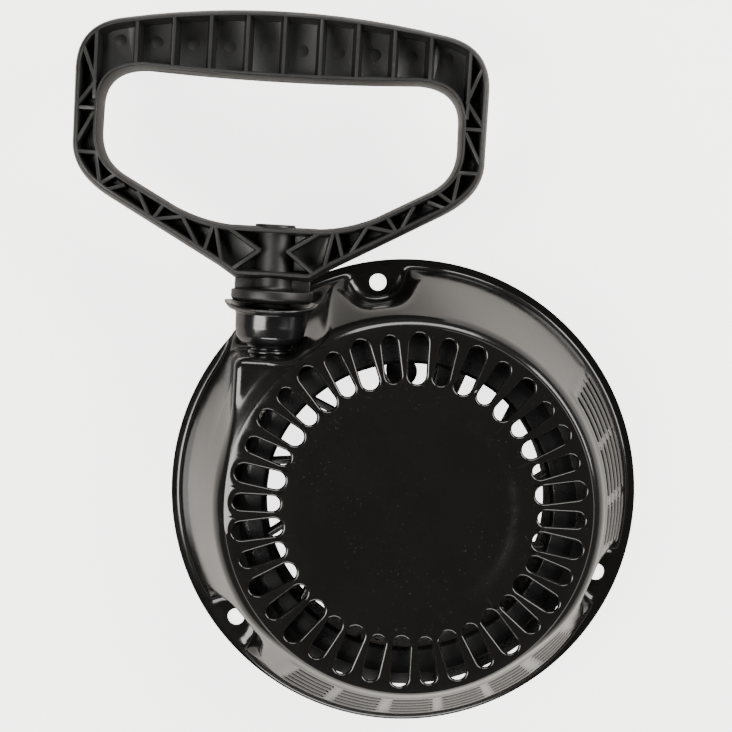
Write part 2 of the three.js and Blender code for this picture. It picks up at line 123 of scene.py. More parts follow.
lightSetup = {
    "soft_left": dict(position=(-0.66, -0.12, 0.95), size=(0.42, 0.7), power=17, colour=(1.0, 0.98, 0.95)),
    "soft_right": dict(position=(0.95, 0.35, 0.8), size=(0.8, 0.7), power=26, colour=(1.0, 0.98, 0.96)),
    "soft_back": dict(position=(0.1, 1.05, 0.8), size=(1.0, 0.5), power=20, colour=(1.0, 0.99, 0.98)),
    "soft_front": dict(position=(-0.1, -1.05, 0.8), size=(1.0, 0.5), power=20, colour=(1.0, 0.99, 0.97)),
}


def makeLights(setup):
    for name, light in setup.items():
        data = bpy.data.lights.new(name, "AREA")
        data.shape = "RECTANGLE"
        data.size, data.size_y = light["size"]
        data.energy = light["power"]
        data.color = light["colour"]
        lamp = addObject(name, data)
        lamp.matrix_world = pointAt(light["position"], (0, 0, 0.03), (0, 0, 1))


def makeWorld(setup):
    # dark overhead and paler towards the horizon, with a plain white backdrop behind the object
    world = bpy.data.worlds.new("studio")
    bpy.context.scene.world = world
    world.use_nodes = True
    tree = world.node_tree
    sky = addNode(tree, "ShaderNodeTexCoord")
    split = addNode(tree, "ShaderNodeSeparateXYZ", {"Vector": sky.outputs["Generated"]})
    fade = addNode(tree, "ShaderNodeMapRange", {
        "Value": split.outputs["Z"], "From Max": setup["darkAbove"],
        "To Min": setup["horizon"], "To Max": setup["zenith"]})
    seen = addNode(tree, "ShaderNodeLightPath")
    pick = addNode(tree, "ShaderNodeMix", {
        "Factor": seen.outputs["Is Camera Ray"], "A": fade.outputs["Result"], "B": setup["backdrop"]})
    fillSockets(tree.nodes["Background"], {
        "Color": setup["colour"] + (1,), "Strength": pick.outputs["Result"]})


makeCamera(cameraSetup)
makeLights(lightSetup)
makeWorld(dict(colour=(0.98, 0.98, 1.0), darkAbove=0.55, horizon=0.3, zenith=0.03, backdrop=4.0))
print("camera and lights ready")


# shader node groups

def startGroup(name, inputs, outputs):
    tree = bpy.data.node_groups.new(name, "ShaderNodeTree")
    for label, value in inputs.items():
        socket = tree.interface.new_socket(label, in_out="INPUT", socket_type="NodeSocketFloat")
        socket.default_value = value
    for label in outputs:
        tree.interface.new_socket(label, in_out="OUTPUT", socket_type="NodeSocketFloat")
    return tree, tree.nodes.new("NodeGroupInput").outputs, tree.nodes.new("NodeGroupOutput")


def placeGroup(tree, group, values):
    node = tree.nodes.new("ShaderNodeGroup")
    node.node_tree = group
    fillSockets(node, values)
    return node


def noiseOf(tree, place, scale, detail, rough=0.5):
    return addNode(tree, "ShaderNodeTexNoise", {
        "Vector": place, "Scale": scale, "Detail": detail, "Roughness": rough}).outputs["Fac"]


def mathOf(tree, operation, *terms, clamp=False):
    node = addNode(tree, "ShaderNodeMath", dict(enumerate(terms)), operation=operation, use_clamp=clamp)
    return node.outputs[0]


def rangeOf(tree, value, begin, end, low=0.0, high=1.0):
    return addNode(tree, "ShaderNodeMapRange", {
        "Value": value, "From Min": begin, "From Max": end, "To Min": low, "To Max": high}).outputs["Result"]


def blendOf(tree, factor, first, second):
    # a mix of two colours, each a plain tuple or a socket
    ends = [end + (1,) if isinstance(end, tuple) else end for end in (first, second)]
    return addNode(tree, "ShaderNodeMix", {"Factor": factor, "A": ends[0], "B": ends[1]},
                   data_type="RGBA").outputs["Result"]


def makeGrainGroup():
    # fine moulded or sprayed texture: a value for roughness and a height for the bump
    tree, given, result = startGroup(
        "moulded grain", {"Scale": 900.0, "Low": 0.2, "High": 0.4}, ["Roughness", "Height"])
    place = addNode(tree, "ShaderNodeTexCoord").outputs["Object"]
    fine = noiseOf(tree, place, given["Scale"], 3.0, 0.6)
    broad = noiseOf(tree, place, 35.0, 4.0, 0.55)
    mixed = mathOf(tree, "MULTIPLY_ADD", fine, 0.5, broad)
    fillSockets(result, {
        "Roughness": rangeOf(tree, mixed, 0.45, 0.8, given["Low"], given["High"]), "Height": fine})
    return tree


def makeDustGroup():
    # pale specks that lie on faces that look up
    tree, given, result = startGroup("settled dust", {"Scale": 700.0, "Cover": 0.3}, ["Mask"])
    place = addNode(tree, "ShaderNodeTexCoord").outputs["Object"]
    specks = noiseOf(tree, place, given["Scale"], 2.0, 0.7)
    patches = noiseOf(tree, place, 28.0, 3.0)
    facing = addNode(tree, "ShaderNodeNewGeometry")
    upward = addNode(tree, "ShaderNodeSeparateXYZ", {"Vector": facing.outputs["Normal"]}).outputs["Z"]
    both = mathOf(tree, "MULTIPLY", rangeOf(tree, specks, 0.66, 0.74), rangeOf(tree, patches, 0.42, 0.68))
    level = mathOf(tree, "MULTIPLY", both, upward, clamp=True)
    fillSockets(result, {"Mask": mathOf(tree, "MULTIPLY", level, given["Cover"])})
    return tree


def makeEdgeGroup():
    # raised edges, where finish thins or polishes
    tree, given, result = startGroup("edge rub", {"Start": 0.52, "End": 0.6, "Amount": 0.5}, ["Mask"])
    place = addNode(tree, "ShaderNodeTexCoord").outputs["Object"]
    raised = addNode(tree, "ShaderNodeNewGeometry").outputs["Pointiness"]
    edge = rangeOf(tree, raised, given["Start"], given["End"])
    broken = mathOf(tree, "MULTIPLY", edge, noiseOf(tree, place, 160.0, 4.0))
    fillSockets(result, {"Mask": mathOf(tree, "MULTIPLY", broken, given["Amount"], clamp=True)})
    return tree


def makeBraidGroup():
    # two families of strands that cross; it takes the length and the turn round the rope, and gives a height
    # and a mask of the gaps between strands, where shade is painted
    tree, given, result = startGroup(
        "braid", {"Along": 0.0, "Around": 0.0, "Pitch": 0.9, "Strands": 8.0}, ["Height", "Gap Shade"])
    advance = mathOf(tree, "MULTIPLY", given["Along"], given["Pitch"])
    turn = mathOf(tree, "MULTIPLY", given["Around"], given["Strands"])
    waves = [mathOf(tree, "PINGPONG", mathOf(tree, sign, advance, turn), 1.0) for sign in ("ADD", "SUBTRACT")]
    over = mathOf(tree, "MULTIPLY", *waves)
    fillSockets(result, {
        "Height": mathOf(tree, "POWER", over, 0.5), "Gap Shade": rangeOf(tree, over, 0.0, 0.3, 1.0, 0.0)})
    return tree


grainGroup = makeGrainGroup()
dustGroup = makeDustGroup()
edgeGroup = makeEdgeGroup()
dustColour = (0.42, 0.4, 0.37)


def makeFinish(name, colour, worn, rough, grain, bump,
               depth=0.0002, edge=0.4, dust=0.2, ior=1.5, metallic=0.0):
    # one Principled shader, fed by the shared grain, dust and edge groups
    material = bpy.data.materials.new(name)
    material.use_nodes = True
    tree = material.node_tree
    texture = placeGroup(tree, grainGroup, {"Scale": grain, "Low": rough[0], "High": rough[1]})
    settled = placeGroup(tree, dustGroup, {"Cover": dust})
    rub = placeGroup(tree, edgeGroup, {"Amount": edge})
    rubbed = blendOf(tree, rub.outputs["Mask"], colour, worn)
    relief = addNode(tree, "ShaderNodeBump", {
        "Strength": bump, "Distance": depth, "Height": texture.outputs["Height"]})
    fillSockets(tree.nodes["Principled BSDF"], {
        "Base Color": blendOf(tree, settled.outputs["Mask"], rubbed, dustColour), "Metallic": metallic,
        "Roughness": texture.outputs["Roughness"], "IOR": ior, "Normal": relief.outputs["Normal"]})
    return material


def makeRopeFinish(look):
    # the braid is laid out from the place along the pull line, so it doesn't stretch as the rope comes out
    material = bpy.data.materials.new("braided rope")
    material.use_nodes = True
    tree = material.node_tree
    place = addNode(tree, "ShaderNodeTexCoord").outputs["Object"]
    onMap = addNode(tree, "ShaderNodeUVMap", uv_map="braid")
    split = addNode(tree, "ShaderNodeSeparateXYZ", {"Vector": onMap.outputs["UV"]})
    line = tuple(pullDirection)
    along = addNode(tree, "ShaderNodeVectorMath", {0: place, 1: line}, operation="DOT_PRODUCT")
    braid = placeGroup(tree, makeBraidGroup(), {
        "Along": mathOf(tree, "MULTIPLY", along.outputs["Value"], 1 / mm), "Around": split.outputs["Y"],
        "Pitch": look["pitch"], "Strands": look["strands"]})
    worn = blendOf(tree, noiseOf(tree, place, 45.0, 4.0), look["colour"], look["soiled"])
    height = mathOf(tree, "MULTIPLY_ADD", noiseOf(tree, place, 2600.0, 3.0), 0.25, braid.outputs["Height"])
    relief = addNode(tree, "ShaderNodeBump", {"Strength": 0.7, "Distance": 0.0006, "Height": height})
    # the gaps between strands get a darker colour: painted shade in the braid's grooves
    fillSockets(tree.nodes["Principled BSDF"], {
        "Base Color": blendOf(tree, braid.outputs["Gap Shade"], worn, look["gap"]), "Roughness": look["rough"],
        "Sheen Weight": look["sheen"], "Normal": relief.outputs["Normal"]})
    return material


finishes = {
    "black_paint": makeFinish(
        "gloss black enamel", colour=(0.0042, 0.0041, 0.0038), worn=(0.03, 0.028, 0.026), rough=(0.07, 0.16),
        grain=240.0, bump=0.03, depth=0.0006, edge=0.2, dust=0.05, ior=1.46),
    "grip_plastic": makeFinish(
        "satin black polypropylene", colour=(0.0050, 0.0050, 0.0048), worn=(0.024, 0.024, 0.023),
        rough=(0.32, 0.45), grain=1500.0, bump=0.25, depth=0.0001, edge=0.3, dust=0.12, ior=1.38),
    "gloss_plastic": makeFinish(
        "gloss black nylon", colour=(0.0045, 0.0045, 0.0048), worn=(0.02, 0.02, 0.02), rough=(0.13, 0.24),
        grain=500.0, bump=0.05, edge=0.2, dust=0.05),
    "reel_plastic": makeFinish(
        "reel nylon", colour=(0.0060, 0.0060, 0.0062), worn=(0.03, 0.03, 0.03), rough=(0.2, 0.34),
        grain=600.0, bump=0.06, edge=0.3, dust=0.03),
    "guide_nylon": makeFinish(
        "grey nylon", colour=(0.030, 0.031, 0.033), worn=(0.09, 0.09, 0.09), rough=(0.38, 0.52),
        grain=900.0, bump=0.12, edge=0.3),
    "zinc_steel": makeFinish(
        "zinc plated steel", colour=(0.55, 0.56, 0.57), worn=(0.72, 0.72, 0.72), rough=(0.24, 0.42),
        grain=700.0, bump=0.08, metallic=1.0, dust=0.1),
    "spring_steel": makeFinish(
        "spring steel", colour=(0.27, 0.28, 0.30), worn=(0.45, 0.45, 0.46), rough=(0.22, 0.4),
        grain=900.0, bump=0.06, metallic=1.0, dust=0.05),
    "pawl_steel": makeFinish(
        "sintered steel", colour=(0.33, 0.33, 0.34), worn=(0.6, 0.6, 0.6), rough=(0.36, 0.55),
        grain=1400.0, bump=0.3, metallic=1.0, edge=0.6, dust=0.05),
    # the gap colour is painted shade between the braid's strands
    "rope_fibre": makeRopeFinish(dict(
        colour=(0.62, 0.58, 0.49), soiled=(0.42, 0.39, 0.33), gap=(0.12, 0.11, 0.09), rough=0.85, sheen=0.3,
        pitch=0.62, strands=8.0)),
}
print("finishes ready")


# mesh helpers: points are in millimetres from the reel's axis

def dressed(name, mesh, slot, sharpAngle):
    # the mesh as an object in metres, smooth between its sharp edges
    mesh.transform(Matrix.Translation(reelAxis) @ Matrix.Scale(mm, 4))
    mesh.polygons.foreach_set("use_smooth", [True] * len(mesh.polygons))
    mesh.set_sharp_from_angle(angle=math.radians(sharpAngle))
    mesh.materials.clear()
    mesh.materials.append(finishes[slot])
    return addObject(name, mesh)


def placeMesh(name, mesh, slot, body, node, sharpAngle):
    piece = dressed(name, mesh, slot, sharpAngle)
    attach(piece, body)
    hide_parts(node)


def applied(mesh, kind, **settings):
    # the mesh after one modifier
    holder = addObject("holder", mesh)
    modifier = holder.modifiers.new(kind.lower(), kind)
    for key, value in settings.items():
        setattr(modifier, key, value)
    view = bpy.context.evaluated_depsgraph_get()
    result = bpy.data.meshes.new_from_object(holder.evaluated_get(view))
    bpy.data.objects.remove(holder)
    return result


def edited(mesh, change):
    # the same mesh after a change made to it as an open mesh
    work = bmesh.new()
    work.from_mesh(mesh)
    change(work)
    work.to_mesh(mesh)
    work.free()
    return mesh


def ringFaces(rows, count, closed=False):
    # four-sided faces between closed rings that have the same number of points
    faces = []
    for row in range(rows if closed else rows - 1):
        above = (row + 1) % rows
        for k in range(count):
            after = (k + 1) % count
            faces.append((row * count + k, row * count + after, above * count + after, above * count + k))
    return faces


def polar(radius, degrees, height=0.0):
    return radius * math.cos(math.radians(degrees)), radius * math.sin(math.radians(degrees)), height


def arcOf(centre, radius, first, last, count):
    turns = np.radians(first + (last - first) * np.arange(count) / count)
    return np.column_stack([centre + radius * np.cos(turns), radius * np.sin(turns)])


def lineOf(begin, end, count):
    begin, end = np.array(begin), np.array(end)
    return begin + (end - begin) * np.arange(count)[:, None] / count


def softMin(a, b, blend):
    share = np.clip(0.5 + 0.5 * (b - a) / blend, 0, 1)
    return b * (1 - share) + a * share - blend * share * (1 - share)


def softMax(a, b, blend):
    return -softMin(-a, -b, blend)


def smoothStep(low, high, value):
    share = np.clip((value - low) / (high - low), 0, 1)
    return share * share * (3 - 2 * share)


# housing

housing = dict(
    flange=109.5, lip=1.2, sheet=1.15, footRadius=104.6, footHeight=3.2, topRadius=86.0, topHeight=62.0,
    crown=68.0, crownJoin=80.6, columns=432, eye=-30.0,
    slotInner=55.6, slotOuter=77.8, slotWidths=(7.8, 6.7), slotTurn=6.7, slotCount=36, roll=1.25,
    discRadius=50.6, dishDepth=1.1,
    boltAngles=(97, 217, 337), boltCircle=99.4, boltHole=4.0,
    ventGroups=((236.5, 11.5), (251, 11.5), (265.5, 11.5), (280, 11.5), (294.3, 11), (308.8, 11),
                (348.5, 12), (2.7, 14), (18.5, 14.5)),
    ventHeights=(14, 23, 32, 41, 50), ventHalf=2.0, ventBands=((234, 87.5), (346, 48.5)), ventBulge=0.5,
    grooveHalf=4.6, frontSpread=0.085, spreadFrom=30, crownRound=7.0, frontRound=4.0,
    outletFace=64.0, outletTop=66.0, outletHole=8.9, tunnelHalf=14.2, tunnelBack=12, tunnelSkirt=9.0,
    skirtTop=34, reliefInner=84.0, reliefLean=0.26, reliefFloor=8, reliefLeft=26, reliefRight=24,
    pocketOut=104, pocketHalf=13.4, mouthStart=89.4, mouthHalf=10.5, mouthFlare=0.78, bead=0.9,
)


def pullFrame(points):
    # across and along the pull line, for points in millimetres from the reel's axis
    across = points[..., 0] * pullSide.x + points[..., 1] * pullSide.y + pullLine["offset"]
    along = points[..., 0] * pullDirection.x + points[..., 1] * pullDirection.y
    return across, along


def wallSlope():
    h = housing
    return (h["footRadius"] - h["topRadius"]) / (h["topHeight"] - h["footHeight"])


def bodyShape(points):
    # below zero inside the pressed body, above zero outside
    h = housing
    z = points[..., 2]
    radius = np.hypot(points[..., 0], points[..., 1])
    slope = wallSlope()
    facing = smoothStep(0.5, 0.85, -points[..., 1] / np.maximum(radius, 1))
    spread = h["frontSpread"] * (z - h["spreadFrom"]) * facing  # the wall leans out more at the front
    cone = (radius + spread - h["footRadius"] + (z - h["footHeight"]) * slope) / math.hypot(1, slope)
    dome = softMax(cone, z - h["crown"], h["crownRound"] + (h["frontRound"] - h["crownRound"]) * facing)
    across, along = pullFrame(points)
    flare = 0.06 + 0.1 * smoothStep(52, 4, along)
    side = (np.abs(across) - h["tunnelHalf"] - (h["outletTop"] - z) * flare) * 0.997
    skirt = h["tunnelSkirt"] * np.clip(1 - z / h["skirtTop"], 0, 1) ** 1.6
    tunnel = softMax(softMax(side, z - h["outletTop"], 3.5), along - h["outletFace"] - skirt, 5.5)
    tunnel = softMax(tunnel, -h["tunnelBack"] - along, 4.0)
    dome = softMin(dome, tunnel, np.clip(4 + (64 - z) * 0.2, 4, 8))
    inner = h["reliefInner"] + h["reliefLean"] * (h["topHeight"] - z) * smoothStep(6, 16, across)
    relief = softMax(h["outletFace"] - along, across - h["reliefRight"], 14.0)
    relief = softMax(softMax(relief, inner - radius, 3.5), h["reliefFloor"] - z, 5.0)
    relief = softMax(relief, -h["reliefLeft"] - across, 4.0)
    dome = softMax(dome, -relief, 4.0)
    for angle in h["boltAngles"]:
        dome = softMax(dome, -earPocket(points, angle), 2.6)
    flange = np.maximum(radius - h["flange"] - 0.5, z - h["lip"])
    return softMin(dome, flange, 1.6)


def earPocket(points, angle):
    # below zero in the pocket over one bolt ear: a rounded floor that opens into a flared mouth
    h = housing
    turn = math.radians(angle)
    out = points[..., 0] * math.cos(turn) + points[..., 1] * math.sin(turn)
    side = np.abs(points[..., 1] * math.cos(turn) - points[..., 0] * math.sin(turn))
    z = points[..., 2]
    floor = np.where(out < h["pocketOut"], np.hypot(out - h["pocketOut"], side), side) - h["pocketHalf"]
    flared = (side - h["mouthHalf"] - (out - h["mouthStart"]) * h["mouthFlare"]) * 0.79
    mouth = softMax(h["mouthStart"] - out, flared, 5.0)
    plan = floor + (mouth - floor) * smoothStep(1, 16, z)
    bead = h["bead"] * np.exp(-((floor + 1.2) / 1.3) ** 2)
    return softMax(plan, h["lip"] + bead - z, 2.2)


def profileRows():
    # the plain profile's rows as [radius, height], from the flange's rim to the crown's flat
    h = housing
    rows = [(radius, h["lip"]) for radius in (109.5, 108.9, 107.9, 107.0, 106.2, 105.6)]
    heights = list(np.arange(1.8, 6.6, 0.4)) + list(np.arange(7, h["topHeight"] + 0.5, 1.0))
    rows += [(h["footRadius"] - (z - h["footHeight"]) * wallSlope(), z) for z in heights]
    rows += [(85.3, 63.4), (84.9, 64.4), (84.4, 65.3), (83.8, 66.1), (83.1, 66.8), (82.4, 67.3), (81.6, 67.7)]
    rows.append((h["crownJoin"], h["crown"]))
    return np.array(rows)


def wallGrid():
    # rays from a point below the middle meet the body's shape once each
    h = housing
    rows = profileRows()
    turns = np.radians(h["slotTurn"] - 5 + np.arange(h["columns"]) * 360 / h["columns"])
    aim = np.stack([
        rows[:, None, 0] * np.cos(turns)[None], rows[:, None, 0] * np.sin(turns)[None],
        np.repeat(rows[:, 1, None], len(turns), axis=1) - h["eye"],
    ], axis=-1)
    eye = np.array([0, 0, h["eye"]])
    closest, furthest, steps = 0.6, 1.32, 72
    step = (furthest - closest) / steps
    near = np.full(aim.shape[:2], closest)
    far = np.full(aim.shape[:2], furthest)
    found = np.zeros(aim.shape[:2], bool)
    for k in range(steps):
        share = furthest - step * (k + 1)
        inside = bodyShape(eye + aim * share) < 0
        new = inside & ~found
        near[new] = share
        far[new] = share + step
        found |= inside
    for _ in range(14):
        middle = (near + far) / 2
        inside = bodyShape(eye + aim * middle[..., None]) < 0
        near = np.where(inside, middle, near)
        far = np.where(inside, far, middle)
    grid = eye + aim * near[..., None]
    grid[0] = eye + aim[0]  # the flange's rim stays a true circle
    grid[-1] = eye + aim[-1]
    return grid, rows, np.degrees(turns) % 360


def within(spans, turns, begin, end):
    # one inside the spans of angle, fading out beyond them
    share = np.zeros(len(turns))
    for start, sweep in spans:
        inside = (turns - start + 180) % 360 - 180
        share = np.maximum(share, smoothStep(begin, end, inside) * smoothStep(begin, end, sweep - inside))
    return share[None]


def bulgeStrips(grid, rows, turns):
    # the vented bands stand out a little and every slit lies in a groove
    h = housing
    heights = rows[:, 1]
    rise = smoothStep(5, 11, heights) * smoothStep(60, 54, heights)
    near = np.min([np.abs(heights - z) for z in h["ventHeights"]], axis=0)
    groove = np.clip(1 - (near / h["grooveHalf"]) ** 2, 0, 1)
    band = rise[:, None] * within(h["ventBands"], turns, -2.5, 0)
    slits = groove[:, None] * within(h["ventGroups"], turns, -1, 0.2)
    push = h["ventBulge"] * (band - slits)
    grid[..., 0] += push * np.cos(np.radians(turns))[None]
    grid[..., 1] += push * np.sin(np.radians(turns))[None]


def cutVents(grid, rows, turns):
    # the faces to leave out, and round ends and turned-in edges for each slit
    h = housing
    columns = len(turns)
    pitch = 360 / columns
    gone = np.zeros((len(rows) - 1, columns), bool)
    heights = (rows[:-1, 1] + rows[1:, 1]) / 2
    for start, sweep in h["ventGroups"]:
        first = int(round((start - turns[0]) / pitch)) % columns
        span = [(first + k) % columns for k in range(int(round(sweep / pitch)))]
        ways = np.radians(turns[span])
        inward = np.array([np.cos(ways), np.sin(ways), 0 * ways]).T
        for z in h["ventHeights"]:
            band = np.where(np.abs(heights - z) < h["ventHalf"])[0]
            gone[np.ix_(band, span)] = True
            for end, inner in ((span[0], span[1]), ((span[-1] + 1) % columns, span[-1])):
                for row in range(band[0], band[-1] + 2):
                    reach = abs(rows[row, 1] - z) / h["ventHalf"]
                    grid[row, end] += (grid[row, inner] - grid[row, end]) * 0.62 * reach ** 3
            for row in (band[0], band[-1] + 1):
                grid[row, span] -= inward * 0.35
    return gone


def crownSector(index):
    # one slot with its turned-down edge, between two half lands
    h = housing
    narrow = index % 2
    half = h["slotWidths"][narrow] / 2
    shorten = 0.9 * narrow
    inner = h["slotInner"] + half + shorten
    outer = h["slotOuter"] - half - shorten
    across, along = h["columns"] // h["slotCount"], 14
    sweep = 180 / h["slotCount"]
    land = np.array([math.cos(math.radians(sweep)), math.sin(math.radians(sweep))])
    disc, join, flip = h["discRadius"], h["crownJoin"], np.array([1, -1])

    def slotLoop(reach):
        return np.vstack([
            arcOf(outer, reach, -90, 90, across), lineOf((outer, reach), (inner, reach), along),
            arcOf(inner, reach, 90, 270, across), lineOf((inner, -reach), (outer, -reach), along)])

    outside = np.vstack([
        arcOf(0, join, -sweep, sweep, across), lineOf(join * land, disc * land, along),
        arcOf(0, disc, sweep, -sweep, across), lineOf(disc * land * flip, join * land * flip, along)])
    layers = []
    for a in np.radians(np.linspace(0, 90, 6)):  # the rolled edge, from straight down to flat
        layers.append((slotLoop(half + h["roll"] * (1 - math.cos(a)) * 0.86), h["roll"] * (1 - math.sin(a))))
    flat = layers[-1][0]
    layers += [(flat + (outside - flat) * 0.35, 0.0), (outside, 0.0)]
    turn = math.radians(h["slotTurn"] + 360 / h["slotCount"] * index)
    cosine, sine = math.cos(turn), math.sin(turn)
    points = []
    for loop, drop in layers:
        points += [(x * cosine - y * sine, x * sine + y * cosine, h["crown"] - drop) for x, y in loop]
    return points, ringFaces(len(layers), len(outside))


def crownDisc(turns):
    h = housing
    radii = [h["discRadius"]] + list(np.arange(50.2, 41.2, -0.6)) + [38, 34, 28, 19, 10, 4]
    floor = h["crown"] - h["dishDepth"]
    points = []
    for radius in radii:
        z = floor + h["dishDepth"] * float(smoothStep(41.8, h["discRadius"], np.array(radius)))
        points += [(radius * math.cos(a), radius * math.sin(a), z) for a in np.radians(turns)]
    count, middle = len(turns), len(points)
    last = middle - count
    faces = ringFaces(len(radii), count) + [(last + k, last + (k + 1) % count, middle) for k in range(count)]
    return points + [(0, 0, floor)], faces


def roundHoles(points, faces, holes):
    # faces inside a hole go, and the vertices left round it move onto its circle
    points = np.array(points, float)
    corners = [np.array(face) for face in faces]
    middles = np.array([points[face].mean(axis=0) for face in corners])
    keep = np.ones(len(faces), bool)
    for test, snap in holes:
        gone = test(middles)
        border = {v for k in np.where(gone)[0] for v in faces[k]}
        kept = {v for k in np.where(~gone)[0] for v in faces[k] if v in border}
        for v in border & kept:
            points[v] = snap(points[v])
        keep &= ~gone
    return points, [face for face, stays in zip(faces, keep) if stays]


def boltHoleTools(angle):
    h = housing
    turn = math.radians(angle)
    centre = h["boltCircle"] * np.array([math.cos(turn), math.sin(turn)])

    def test(middles):
        return (np.hypot(*(middles[:, :2] - centre).T) < h["boltHole"]) & (middles[:, 2] < 6)

    def snap(point):
        way = point[:2] - centre
        return np.array([*(centre + way / np.hypot(*way) * h["boltHole"]), point[2]])

    return test, snap


def outletHoleTools():
    h = housing

    def test(middles):
        across, along = pullFrame(middles)
        reach = np.hypot(across, middles[:, 2] - pullLine["height"])
        return (reach < h["outletHole"]) & (along > 40)

    def snap(point):
        across, _ = pullFrame(point)
        way = np.array([across, point[2] - pullLine["height"]])
        shift = way / np.hypot(*way) * h["outletHole"] - way
        return point + np.array([pullSide.x * shift[0], pullSide.y * shift[0], shift[1]])

    return test, snap


def weldSheet(work):
    bmesh.ops.remove_doubles(work, verts=work.verts, dist=0.004)
    bmesh.ops.delete(work, geom=[v for v in work.verts if not v.link_faces], context="VERTS")
    bmesh.ops.recalc_face_normals(work, faces=work.faces)
    highest = max(work.faces, key=lambda face: face.calc_center_median().z)
    if highest.normal.z < 0:
        bmesh.ops.reverse_faces(work, faces=work.faces)


def makeHousing():
    h = housing
    grid, rows, turns = wallGrid()
    bulgeStrips(grid, rows, turns)
    gone = cutVents(grid, rows, turns).ravel()
    faces = [face for face, absent in zip(ringFaces(len(rows), len(turns)), gone) if not absent]
    holes = [boltHoleTools(angle) for angle in h["boltAngles"]] + [outletHoleTools()]
    points, faces = roundHoles(grid.reshape(-1, 3), faces, holes)
    points = [tuple(p) for p in points]
    for more, cells in [crownSector(index) for index in range(h["slotCount"])] + [crownDisc(turns)]:
        base = len(points)
        points += more
        faces += [tuple(base + v for v in cell) for cell in cells]
    mesh = bpy.data.meshes.new("housing_sheet")
    mesh.from_pydata(points, [], faces)
    edited(mesh, weldSheet)
    shell = applied(mesh, "SOLIDIFY", thickness=h["sheet"], offset=-1, use_even_offset=False)
    placeMesh("pressed_housing", shell, "black_paint", "casing", "housing", 50)


makeHousing()
print("housing pressed")


# outlines and lathed shapes

def outline(start, *parts, spacing=4.0, arcs=12):
    # straight parts are (x, y); curved parts are (control x, control y, x, y)
    points = [np.array(start, float)]
    for part in parts:
        begin, end = points[-1], np.array(part[-2:], float)
        if len(part) == 4:
            control = np.array(part[:2], float)
            for k in range(1, arcs + 1):
                t = k / arcs
                points.append(begin * (1 - t) ** 2 + control * 2 * t * (1 - t) + end * t * t)
        else:
            count = max(1, int(round(np.hypot(*(end - begin)) / spacing)))
            points += [begin + (end - begin) * k / count for k in range(1, count + 1)]
    return np.array(points)


def mirroredOutline(half):
    back = half[1:-1][::-1] * np.array([-1, 1])
    return np.vstack([half, back])


def offsetLoop(loop, distance):
    before = loop - np.roll(loop, 1, axis=0)
    after = np.roll(loop, -1, axis=0) - loop
    before /= np.linalg.norm(before, axis=1)[:, None]
    after /= np.linalg.norm(after, axis=1)[:, None]
    normal = np.stack([before[:, 1] + after[:, 1], -before[:, 0] - after[:, 0]], axis=1)
    normal /= np.linalg.norm(normal, axis=1)[:, None]
    stretch = 1 / np.maximum(0.6, normal[:, 0] * after[:, 1] - normal[:, 1] * after[:, 0])
    return loop + normal * (distance * stretch)[:, None]


def soften(profile, radius, steps=4):
    # rounds the corners of an open profile
    profile = [np.array(p, float) for p in profile]
    points = [profile[0]]
    for before, corner, after in zip(profile, profile[1:], profile[2:]):
        inward, outward = before - corner, after - corner
        reach = min(radius, 0.45 * np.hypot(*inward), 0.45 * np.hypot(*outward))
        begin = corner + inward / np.hypot(*inward) * reach
        end = corner + outward / np.hypot(*outward) * reach
        for k in range(steps + 1):
            t = k / steps
            points.append(begin * (1 - t) ** 2 + corner * 2 * t * (1 - t) + end * t * t)
    return points + [profile[-1]]


def lathed(profile, segments=96, closed=False):
    # a profile of [radius, height] turned about +Z
    turns = [2 * math.pi * k / segments for k in range(segments)]
    points = [(r * math.cos(a), r * math.sin(a), height) for r, height in profile for a in turns]
    return meshOf(points, ringFaces(len(profile), segments, closed))


def tidyMesh(work):
    bmesh.ops.remove_doubles(work, verts=work.verts, dist=0.002)
    bmesh.ops.dissolve_degenerate(work, edges=work.edges, dist=0.0005)
    bmesh.ops.recalc_face_normals(work, faces=work.faces)


def meshOf(points, faces):
    mesh = bpy.data.meshes.new("shape")
    mesh.from_pydata([tuple(p) for p in points], [], [tuple(f) for f in faces])
    return edited(mesh, tidyMesh)


def prismOf(pairs):
    # each pair is the same outline at two levels, as 3D loops; the first is outside, the rest are holes
    work = bmesh.new()
    ends = ([], [])
    for loops in pairs:
        rings = [[work.verts.new(tuple(p)) for p in loop] for loop in loops]
        for side, ring in enumerate((rings[0], rings[-1])):
            for k, vertex in enumerate(ring):
                ends[side].append(work.edges.new((vertex, ring[(k + 1) % len(ring)])))
        for low, high in zip(rings, rings[1:]):
            for k in range(len(low)):
                after = (k + 1) % len(low)
                work.faces.new((low[k], low[after], high[after], high[k]))
    for edges in ends:
        bmesh.ops.triangle_fill(work, use_beauty=True, edges=edges)
    bmesh.ops.recalc_face_normals(work, faces=work.faces)
    mesh = bpy.data.meshes.new("prism")
    work.to_mesh(mesh)
    work.free()
    return mesh


def atLevel(loop, level):
    return np.column_stack([loop, np.full(len(loop), level)])


def combined(meshes):
    return edited(bpy.data.meshes.new("whole"), lambda work: [work.from_mesh(mesh) for mesh in meshes])


def moved(mesh, matrix):
    mesh.transform(matrix)
    return mesh


def carved(mesh, tool, selfCross=False):
    holder = addObject("tool", tool)
    result = applied(mesh, "BOOLEAN", object=holder, solver="EXACT", use_self=selfCross)
    bpy.data.objects.remove(holder)
    return result


def eased(mesh, width, segments=2, angle=35):
    # flat areas merged, then every crisp edge rounded a little
    edited(mesh, lambda work: bmesh.ops.dissolve_limit(
        work, angle_limit=math.radians(1), verts=work.verts, edges=work.edges))
    return applied(mesh, "BEVEL", width=width, segments=segments, limit_method="ANGLE",
                   angle_limit=math.radians(angle), harden_normals=False, use_clamp_overlap=True)


def boxMesh(width, depth, height, edge=0.5):
    x, y, z = width / 2, depth / 2, height / 2
    corners = [(a * x, b * y, c * z) for c in (-1, 1) for b in (-1, 1) for a in (-1, 1)]
    faces = [(0, 1, 3, 2), (4, 5, 7, 6), (0, 1, 5, 4), (2, 3, 7, 6), (0, 2, 6, 4), (1, 3, 7, 5)]
    return eased(meshOf(corners, faces), edge, 3)


